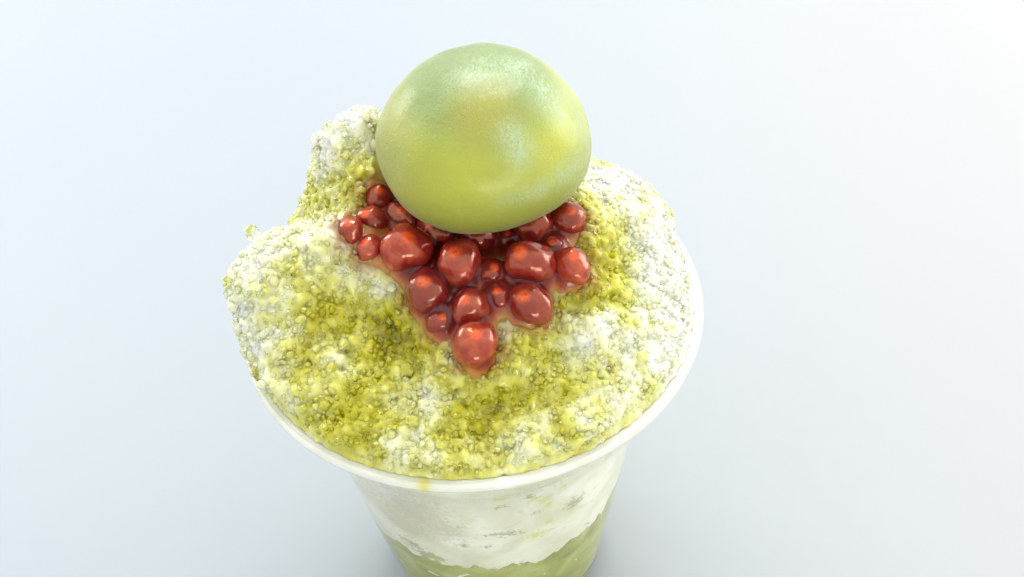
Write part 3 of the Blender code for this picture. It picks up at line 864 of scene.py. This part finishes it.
def green_top(x, y):
    """Height of the green layer's top, as in the CAD model, with a finer ragged edge."""
    climb_x = (x - GREEN_CLIMB_PLACE[0]) / GREEN_CLIMB_WIDTH
    climb_y = (y - GREEN_CLIMB_PLACE[1]) / GREEN_CLIMB_WIDTH
    height = RIM - GREEN_LEVEL + GREEN_CLIMB * math.exp(-climb_x * climb_x - climb_y * climb_y)
    height += GREEN_RIPPLE * noise.noise(Vector((x, y, 0)) / GREEN_RIPPLE_SIZE)
    for layer, size, rise in GREEN_RAGGED:
        height += rise * MM * noise.noise(Vector((x, y, layer * MM)) / (size * MM))
    return height


def make_slush():
    angles = np.linspace(0, 2 * math.pi, SLUSH_SEGMENTS, endpoint=False)
    floor = CUP_FLOOR + AXIS_RADIUS
    points = []
    for row in range(SLUSH_ROWS):
        for angle in angles:
            height = RIM - GREEN_LEVEL
            for _ in range(6):
                radius = wall_radius(height)
                height = green_top(radius * math.cos(angle), radius * math.sin(angle))
            height = floor + (height - floor) * row / (SLUSH_ROWS - 1)
            radius = float(wall_radius(max(height, WALL_START)))
            if height < WALL_START:
                radius -= (1 - (height - floor) / (WALL_START - floor)) * SLUSH_CORNER
            radius += GREEN_INTO_WALL
            points.append((radius * math.cos(angle), radius * math.sin(angle), height))
    edge = points[-SLUSH_SEGMENTS:]
    for share in SLUSH_TOP_RINGS:
        for x, y, _ in edge:
            points.append((x * share, y * share, green_top(x * share, y * share)))
    _, faces = lathe(np.zeros((SLUSH_ROWS + len(SLUSH_TOP_RINGS), 2)), SLUSH_SEGMENTS)
    floor_ring = np.arange(SLUSH_SEGMENTS)
    centre = np.full(SLUSH_SEGMENTS, len(points))
    points.append((0, 0, floor))
    under = np.stack([np.roll(floor_ring, -1), floor_ring, centre], axis=1)
    triangles = np.concatenate([faces[:, [0, 1, 2]], faces[:, [0, 2, 3]], under])
    mesh = mesh_from("green_slush", points, triangles)
    piece("green_slush", mesh, slush_material(), "green_layer", "green_layer")


def make_fill():
    """The packed ice seen through the wall, from inside the slush up to the neck."""
    heights = np.concatenate([np.linspace(*span) for span in FILL_ROWS]) * MM
    profile = [(AXIS_RADIUS, heights[0])]
    for height in heights:
        profile.append((float(wall_radius(height)) + INTO_WALL, height))
    profile += [(FILL_TOP_RADIUS, FILL_TOP), (AXIS_RADIUS, FILL_TOP)]
    points, faces = lathe(profile, FILL_SEGMENTS)
    mesh = mesh_from("ice_fill", points, faces)
    piece("ice_fill", mesh, fill_material(), "ice")
    soak, green = [], []
    for x, y, z in points.tolist():
        patch = noise.noise(Vector((x, y, z * 2)) / FILL_PATCH_SIZE)
        near_top = smoothstep(68 * MM, 80 * MM, z)
        soak.append(float(smoothstep(0.0, 0.5, patch) * near_top * 0.5 + 0.15 * near_top))
        green.append(float(1 - smoothstep(0, FILL_GREEN_REACH, z - green_top(x, y))))
    add_values(mesh, "soak", soak)
    add_values(mesh, "green", green)
    # The grey marks are painted shade in hollows.
    for name, marks in (("yellow", YELLOW_BITS), ("olive", OLIVE_SMUDGES), ("grey", GREY_HOLLOWS)):
        add_values(mesh, name, marked(points, marks))


def marked(points, marks):
    """From 0 to 1, how well inside one of the marks each point lies."""
    share = np.full(len(points), -1.0)
    angle = np.arctan2(points[:, 1], points[:, 0])
    radius = np.hypot(points[:, 0], points[:, 1]) / MM
    for degrees, height, half_width, half_height in marks:
        turn = (angle - math.radians(degrees) + math.pi) % (2 * math.pi) - math.pi
        off = np.hypot(turn * radius / half_width, (points[:, 2] / MM - height) / half_height)
        share = np.maximum(share, 1 - 0.5 * off)
    return share


# The ice heap


def surface_samples(mesh, count, chance):
    """Points and normals spread evenly over the mesh above the rim."""
    points = points_of(mesh)
    triangles = triangles_of(mesh)
    corners = points[triangles]
    normals = points_of(mesh, "normal")[triangles]
    area = np.linalg.norm(crossed(points, triangles), axis=1) / 2
    area *= corners[:, :, 2].mean(axis=1) > RIM - 0.5 * MM
    picked = chance.choice(len(area), size=count, p=area / area.sum())
    u, v = chance.random(count), chance.random(count)
    over = u + v > 1
    u[over], v[over] = 1 - u[over], 1 - v[over]
    weights = np.stack([1 - u - v, u, v], axis=1)[:, :, None]
    places = (corners[picked] * weights).sum(axis=1)
    facing = (normals[picked] * weights).sum(axis=1)
    facing /= np.linalg.norm(facing, axis=1, keepdims=True)
    return places, facing


def spaced(places, gap):
    """The numbers of places kept so that none lies nearer to another than the gap."""
    cells, kept = {}, []
    for index, place in enumerate(places.tolist()):
        x, y, z = (int(value // gap) for value in place)
        near = False
        for dx, dy, dz in product((-1, 0, 1), repeat=3):
            for other in cells.get((x + dx, y + dy, z + dz), ()):
                near = near or math.dist(place, other) < gap
        if not near:
            cells.setdefault((x, y, z), []).append(place)
            kept.append(index)
    return np.array(kept)


def distance_to(places, *trees):
    """Distance from each place to the nearest of the solids."""
    found = [min(tree.find_nearest(place)[3] for tree in trees) for place in places.tolist()]
    return np.array(found)


def fits_the_lip(places, radii):
    """Which lumps stay off the lip: inside it, or wholly above it."""
    reach = np.hypot(places[:, 0], places[:, 1]) + radii
    above = places[:, 2] - radii > RIM + 0.2 * MM
    return above | (reach < LIP_INNER - 0.1 * MM)


def risen_ice(trees, places):
    """How far the ice rises under the syrup and round it, to hold the beans."""
    near_syrup = 1 - smoothstep(1.0 * MM, 8.5 * MM, distance_to(places, trees["wet"]))
    off_cake = smoothstep(0.4 * MM, 2.2 * MM, distance_to(places, trees["rice_cake"]))
    return RISEN_ICE * near_syrup * off_cake


def noise_at(places, size):
    """Smooth noise from -1 to 1 at each place."""
    return np.array([noise.noise(Vector(place) / size) for place in places.tolist()])


def clumps(places):
    """How far the ice bulges or sinks in soft clumps."""
    return CLUMP_HEIGHT * noise_at(places, CLUMP_SIZE)


def under_syrup(beans, places):
    """Which places lie below the syrup or a bean, seen from above."""
    found = []
    for x, y, _ in places.tolist():
        gaps = (math.hypot(centre[0] - x, centre[1] - y) - radius for centre, radius in beans)
        found.append(min(gaps) < GEL_REACH)
    return np.array(found)


def rim_grains(chance):
    """Lumps that fill the trough between the heap and the lip."""
    angle = chance.uniform(-math.pi, math.pi, RIM_GRAINS)
    radii = chance.uniform(0.5 * MM, 1.0 * MM, RIM_GRAINS)
    inward = chance.random(RIM_GRAINS) ** 1.4
    reach = LIP_INNER + 0.9 * MM - radii * 1.05 - inward * 3 * MM
    height = RIM + (chance.uniform(-0.8, 0.5, RIM_GRAINS) + 0.6 * inward) * MM
    return np.stack([reach * np.cos(angle), reach * np.sin(angle), height], axis=1), radii


def scattered(kind, nodes, trees, beans, chance):
    """Places and radii of grains of that kind on the heap, clear of the other pieces."""
    places, facing = surface_samples(nodes["ice"].data, kind["count"] * kind["tries"], chance)
    kept = spaced(places, kind["apart"])[: kind["count"]]
    places, facing = places[kept], facing[kept]
    small, large = kind["radii"]
    radii = small + (large - small) * chance.random(len(places)) ** kind["few_large"]
    lift = radii * chance.uniform(*kind["lift"], len(places)) + clumps(places)
    places = places + facing * (lift + risen_ice(trees, places))[:, None]
    good = distance_to(places, trees["rice_cake"]) > radii + kind["off_cake"]
    good &= ~under_syrup(beans, places)
    good &= fits_the_lip(places, radii * kind["swell"])
    return places[good], radii[good]


def make_heap(nodes, trees, beans):
    """The core of the heap, moved and pitted, with packed grains melted onto it."""
    chance = np.random.default_rng(SEED)
    shell, core_faces, normals = welded(nodes["ice"].data)
    open_air = distance_to(shell, trees["bean_syrup"], trees["rice_cake"])
    share = smoothstep(0.6 * MM, 3.5 * MM, open_air)
    pits = noise_at(shell, PIT_SIZE)
    sink = share * (CORE_SINK + PIT_DEPTH * np.clip(pits, 0, 1))
    core = shell + normals * (risen_ice(trees, shell) + share * clumps(shell) - sink)[:, None]
    core[:, 2] = np.maximum(core[:, 2], HEAP_FLOOR)
    trees["risen"] = BVHTree.FromPolygons(core.tolist(), core_faces.tolist())
    grains = lumps(*scattered(PACKED, nodes, trees, beans, chance), chance, roughness=0.2)
    beside_lip = lumps(*rim_grains(chance), chance, roughness=0.2)
    points, faces = joined((core, core_faces), grains, beside_lip)
    heap = fused(points, faces, "ice_heap", HEAP_VOXEL, HEAP_FACES)
    piece("ice_heap", heap, ice_material("shaved_ice", HEAP_CLEARNESS), "ice", "ice")
    paint(heap, heap_values(points_of(heap), trees))
    inner = shell - normals * (CORE_DEPTH + CORE_UNEVEN * pits[:, None])
    inner[:, 2] = np.maximum(inner[:, 2], HEAP_FLOOR + 0.3 * MM)
    inside = fused(inner, core_faces, "ice_core", CORE_VOXEL, HEAP_FACES, smoothing=2)
    piece("ice_core", inside, core_material(), "ice")
    paint(inside, heap_values(points_of(inside), trees))


def gathered(places, spots):
    """The sum of soft round spots, each with its place, reach and strength, at those places."""
    total = np.zeros(len(places))
    for place, reach, strength in spots:
        off = np.linalg.norm(places - np.array(place), axis=1) / reach
        total += strength * np.exp(-off * off)
    return total


def heap_values(points, trees):
    """How soaked, how deep in a pit and how stained the ice is at each place."""
    points = points.astype(float)
    # The soak also carries painted light: paler where the lamps fall, darker in shaded pits.
    soak = SOAK_BASE + gathered((points - np.array([0, 0, RIM])) / MM, SOAK_AND_LIGHT_SPOTS)
    for size in SOAK_WAVES:
        soak += SOAK_UNEVEN * noise_at(points, size)
    depth, stain = [], []
    for point in points.tolist():
        vector = Vector(point)
        near, normal, _, distance = trees["risen"].find_nearest(vector)
        outward = distance if (vector - near).dot(normal) > 0 else -distance
        depth.append(outward / MM)
        stain.append(trees["wet"].find_nearest(vector)[3] / MM)
    stain = np.array(stain) + STAIN_RAGGED * noise_at(points, STAIN_SIZE)
    return {
        "soak": np.clip(soak, 0, 1),
        "depth": np.array(depth),
        "stain": (1 - smoothstep(0.6, 4.6, stain)) * STAIN_MOST,
        "tone": np.full(len(points), 0.5),
    }


def paint(mesh, values):
    for name, numbers in values.items():
        add_values(mesh, name, numbers)


def make_grains(name, kind, material, nodes, trees, beans, chance, extra=()):
    """Single grains on the heap, each with its own tone."""
    places, radii = scattered(kind, nodes, trees, beans, chance)
    for place, radius in extra:
        spot = Vector(place) * MM + Vector((0, 0, RIM))
        near, normal, _, _ = trees["ice"].find_nearest(spot)
        places = np.concatenate([places, [list(near + normal * (0.9 * radius * MM))]])
        radii = np.concatenate([radii, [radius * MM]])
    points, faces = lumps(places, radii, chance, kind["detail"], roughness=0.24)
    mesh = mesh_from(name, points, faces)
    piece(name, mesh, material, "ice")
    mesh.shade_flat()
    values = heap_values(places, trees)
    values["tone"] = chance.random(len(places))
    corners = len(points) // len(places)
    paint(mesh, {key: np.repeat(numbers, corners) for key, numbers in values.items()})


# The rice cake and the beans


def make_cake():
    """The rice cake: the CAD profile, finely turned, with the soft unevenness of dough."""
    middle = CAKE_BOTTOM + CAKE_LOWER
    profile = []
    for step in range(CAKE_RINGS + 1):
        turn = math.pi * (step / CAKE_RINGS - 0.5)
        lower = turn < 0
        power = CAKE_LOWER_POWER if lower else CAKE_UPPER_POWER
        height = CAKE_LOWER if lower else CAKE_UPPER
        across = abs(math.cos(turn)) ** (2 / power)
        up = math.copysign(abs(math.sin(turn)) ** (2 / power), turn)
        profile.append((max(across * CAKE_RADIUS, 0.03 * MM), middle + up * height))
    points, faces = lathe(profile, CAKE_SEGMENTS)
    centre = Vector((0, 0, middle))
    moved = []
    for point in points.tolist():
        vector = Vector(point)
        outward = (vector - centre).normalized()
        soft = sum(noise.noise(vector / (size * MM)) * rise for size, rise in DOUGH_WAVES)
        moved.append(vector + outward * soft * MM)
    points = np.array(moved) + np.array([CAKE_PLACE[0], CAKE_PLACE[1], 0])
    mesh = mesh_from("rice_dough", points, faces)
    piece("rice_dough", mesh, dough_material(), "rice_cake", "rice_cake")
    from_rim = (points - np.array([0, 0, RIM])) / MM
    height = (from_rim[:, 2] - DOUGH_LOW) / DOUGH_HEIGHT
    right = (from_rim[:, 0] - CAKE_PLACE[0] / MM) / (CAKE_RADIUS / MM)
    off_warm = np.linalg.norm(from_rim - np.array(DOUGH_WARM_PLACE), axis=1)
    low = 1 - smoothstep(0.12, 0.6, height)
    # Painted sheen: where the dough is painted paler, as a reflection of the sky.
    add_values(mesh, "painted_sheen", np.clip(gathered(from_rim, DOUGH_SHEENS), 0, 1))
    # Painted warm reflection at the front of the top.
    add_values(mesh, "warm", 1 - smoothstep(2, 11, off_warm))
    # Painted shade towards the bottom and on the left side.
    add_values(mesh, "low", np.maximum(low, 0.6 * smoothstep(0.3, 1.0, -right)))
    # Painted shade and bluish sheen on the top of the dough.
    add_values(mesh, "crown", smoothstep(0.7, 0.95, height))


def bean_places(nodes):
    """Centre and radius of each CAD bean, from its own mesh."""
    found = []
    for name in BEAN_NAMES:
        points = points_of(nodes[name].data)
        centre = (points.min(axis=0) + points.max(axis=0)) / 2
        radius = np.linalg.norm(points - centre, axis=1).max()
        found.append((centre.astype(float), float(radius)))
    return found


def make_beans(places):
    """The beans: each a ball made long, with the dent of its seam and soft swellings."""
    material = bean_material()
    shape, faces = ball(4)
    width, depth, length = BEAN_FORM
    for number, (name, (centre, radius)) in enumerate(zip(BEAN_NAMES, places), 1):
        golden_turn = math.radians(GOLDEN_DEGREES * number)
        turn = Matrix.Rotation(golden_turn, 3, "Z") @ Matrix.Rotation(0.3, 3, "Y")
        turn = turn @ Matrix.Rotation(math.radians(90) + 0.5 * math.sin(golden_turn), 3, "X")
        points = []
        for x, y, z in shape.tolist():
            vector = Vector((x, y, z))
            seam = smoothstep(0.3, 1, -y) * (1 - smoothstep(0.1, 0.9, abs(z)))
            vector.x *= width
            vector.y *= depth - BEAN_DENT * seam
            vector.z *= length
            swell = noise.noise(vector * 1.2 + Vector((number * 3, 0, 0))) * BEAN_SWELL
            swell += BEAN_SWELL
            swell += noise.noise(vector * 3.2 + Vector((0, number * 5, 0))) * BEAN_WRINKLE
            points.append(turn @ (vector * (1 + swell)) * radius)
        points = np.array(points) + centre
        mesh = mesh_from(f"red_{name}", points, faces)
        outward = (points - centre) / np.linalg.norm(points - centre, axis=1, keepdims=True)
        # Painted orange highlight on the side of the bean that faces up and to the front.
        lit = Vector(BEAN_GLOW_SIDE) + Vector((0.3 * math.sin(golden_turn), 0, 0))
        glow = smoothstep(*BEAN_GLOW_SPAN, outward @ np.array(lit.normalized()))
        add_values(mesh, "deep", np.full(len(points), BEAN_DEPTHS[number - 1]))
        add_values(mesh, "glow", glow)
        piece(f"red_{name}", mesh, material, "bean", name)


def gel_heights(places, trees):
    """Grid of the syrup: where it lies, its underside and its top, risen between the beans."""
    across = np.arange(GEL_LOW[0], GEL_HIGH[0], GEL_STEP)
    along = np.arange(GEL_LOW[1], GEL_HIGH[1], GEL_STEP)
    centres = np.array([centre for centre, _ in places])
    radii = np.array([radius for _, radius in places])
    wet = np.zeros((len(across), len(along)), dtype=bool)
    low, high = np.zeros(wet.shape), np.zeros(wet.shape)
    down = Vector((0, 0, -1))
    for i, x in enumerate(across):
        for j, y in enumerate(along):
            above = Vector((x, y, 2 * RIM))
            hit = trees["risen"].ray_cast(above, down)[0] or trees["ice"].ray_cast(above, down)[0]
            off = np.hypot(centres[:, 0] - x, centres[:, 1] - y)
            crowd = np.exp(-((off / (CROWD_WIDTH * radii)) ** 2)).sum()
            reach = GEL_REACH + GEL_CROWD_REACH * float(smoothstep(0.9, 1.5, crowd))
            apart = (off - radii).min()
            risen = 1 - smoothstep(GEL_NEAR, reach, apart)
            fill = GEL_LOW_FILL + GEL_FILL_GAIN * float(smoothstep(1.0, 2.4, crowd))
            in_pool = apart < reach
            weight = np.exp(-((off / (LEVEL_WIDTH * radii)) ** 2)) + 1e-9
            level = ((centres[:, 2] + fill * radii) * weight).sum() / weight.sum()
            thin = hit.z + (GEL_THIN if in_pool else GEL_BURIED)
            wet[i, j] = in_pool
            low[i, j] = hit.z - GEL_SINK
            high[i, j] = thin + max(0, level - thin) * risen
    return across, along, wet, low, high


def make_gel(places, trees):
    """The syrup: a closed sheet over that grid, its corners melted round."""
    across, along, wet, low, high = gel_heights(places, trees)
    rows = len(along)
    size = wet.size
    x, y = np.meshgrid(across, along, indexing="ij")
    sheets = [np.stack([x, y, level], axis=-1).reshape(-1, 3) for level in (high, low)]
    faces = []
    cells = wet[:-1, :-1] & wet[1:, :-1] & wet[:-1, 1:] & wet[1:, 1:]
    for i, j in np.argwhere(cells).tolist():
        a, b = i * rows + j, (i + 1) * rows + j
        c, d = b + 1, a + 1
        faces += [(a, b, c), (a, c, d)]
        faces += [(size + a, size + c, size + b), (size + a, size + d, size + c)]
        for di, dj, first, second in ((0, -1, a, b), (1, 0, b, c), (0, 1, c, d), (-1, 0, d, a)):
            beside = (i + di, j + dj)
            inside = 0 <= beside[0] < cells.shape[0] and 0 <= beside[1] < cells.shape[1]
            if not (inside and cells[beside]):
                faces += [(second, first, size + first), (second, size + first, size + second)]
    gel = fused(np.concatenate(sheets), faces, "syrup_gel", GEL_VOXEL, GEL_FACES, GEL_SMOOTHING)
    piece("syrup_gel", gel, gel_material(), "bean_syrup", "bean_syrup")
    over_ice = distance_to(points_of(gel), trees["risen"]) / MM
    add_values(gel, "thick", smoothstep(0.2, 3.6, over_ice))


# The stage


def make_stage():
    corners = np.array([(-1, -1, 0), (1, -1, 0), (1, 1, 0), (-1, 1, 0)])
    floor = mesh_from("table", corners * FLOOR_HALF, [(0, 1, 2, 3)])
    table = bpy.data.objects.new("table", floor)
    bpy.context.scene.collection.objects.link(table)
    floor.materials.append(floor_material())


def make_camera():
    lens = bpy.data.cameras.new("camera")
    lens.sensor_fit = "HORIZONTAL"
    lens.sensor_width = SENSOR_WIDTH
    lens.lens = FOCAL_PIXELS * SENSOR_WIDTH / IMAGE_WIDTH
    lens.clip_start = 0.01
    camera = bpy.data.objects.new("camera", lens)
    bpy.context.scene.collection.objects.link(camera)
    axes = Matrix((CAMERA_RIGHT, CAMERA_UP, CAMERA_BACK)).transposed()
    camera.matrix_world = Matrix.Translation(CAMERA_PLACE) @ axes.to_4x4()
    bpy.context.scene.camera = camera


def make_sky():
    """A pale sky, brighter on one side."""
    world = bpy.data.worlds.new("soft_sky")
    bpy.context.scene.world = world
    world.use_nodes = True
    tree = world.node_tree
    sky = tree.nodes["Background"]
    sky.inputs["Color"].default_value = SKY_TINT
    facing = add_node(tree, "ShaderNodeTexCoord").outputs["Generated"]
    bright = Vector(SKY_BRIGHT_SIDE).normalized()
    toward = add_node(tree, "ShaderNodeVectorMath", {0: facing, 1: bright}, operation="DOT_PRODUCT")
    strength = spread(toward.outputs["Value"], -0.9, 0.9, SKY_DARK, SKY_LIGHT)
    tree.links.new(strength, sky.inputs["Strength"])
    bpy.context.scene.view_settings.view_transform = "Standard"


def make_lamps():
    for name, place, size, power, tint in LAMPS:
        lamp = bpy.data.lights.new(name, "AREA")
        lamp.shape = "RECTANGLE"
        lamp.size, lamp.size_y = size
        lamp.energy = power
        lamp.color = tint
        light = bpy.data.objects.new(name, lamp)
        bpy.context.scene.collection.objects.link(light)
        light.location = place
        toward = Vector(LAMP_TARGET) - Vector(place)
        light.rotation_euler = toward.to_track_quat("-Z", "Y").to_euler()


def main():
    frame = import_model()
    nodes = frame["nodes"]
    trees = {name: tree_of(nodes[name]) for name in ("ice", "bean_syrup", "rice_cake")}
    wet = [nodes[name].data for name in ["bean_syrup", *BEAN_NAMES]]
    points, faces = joined(*((points_of(mesh), triangles_of(mesh)) for mesh in wet))
    trees["wet"] = BVHTree.FromPolygons(points.tolist(), faces.tolist())
    make_cup()
    make_slush()
    make_fill()
    beans = bean_places(nodes)
    make_heap(nodes, trees, beans)
    chance = np.random.default_rng(SEED + 1)
    milky = ice_material("grain_ice", GRAIN_CLEARNESS)
    clear = crystal_material()
    make_grains("ice_grains", MILKY, milky, nodes, trees, beans, chance)
    make_grains("ice_chunks", CHUNKS, milky, nodes, trees, beans, chance)
    make_grains("ice_crystals", CLEAR, clear, nodes, trees, beans, chance, LOOSE_BITS)
    make_cake()
    make_beans(beans)
    make_gel(beans, trees)
    make_stage()
    make_sky()
    make_lamps()
    make_camera()


main()
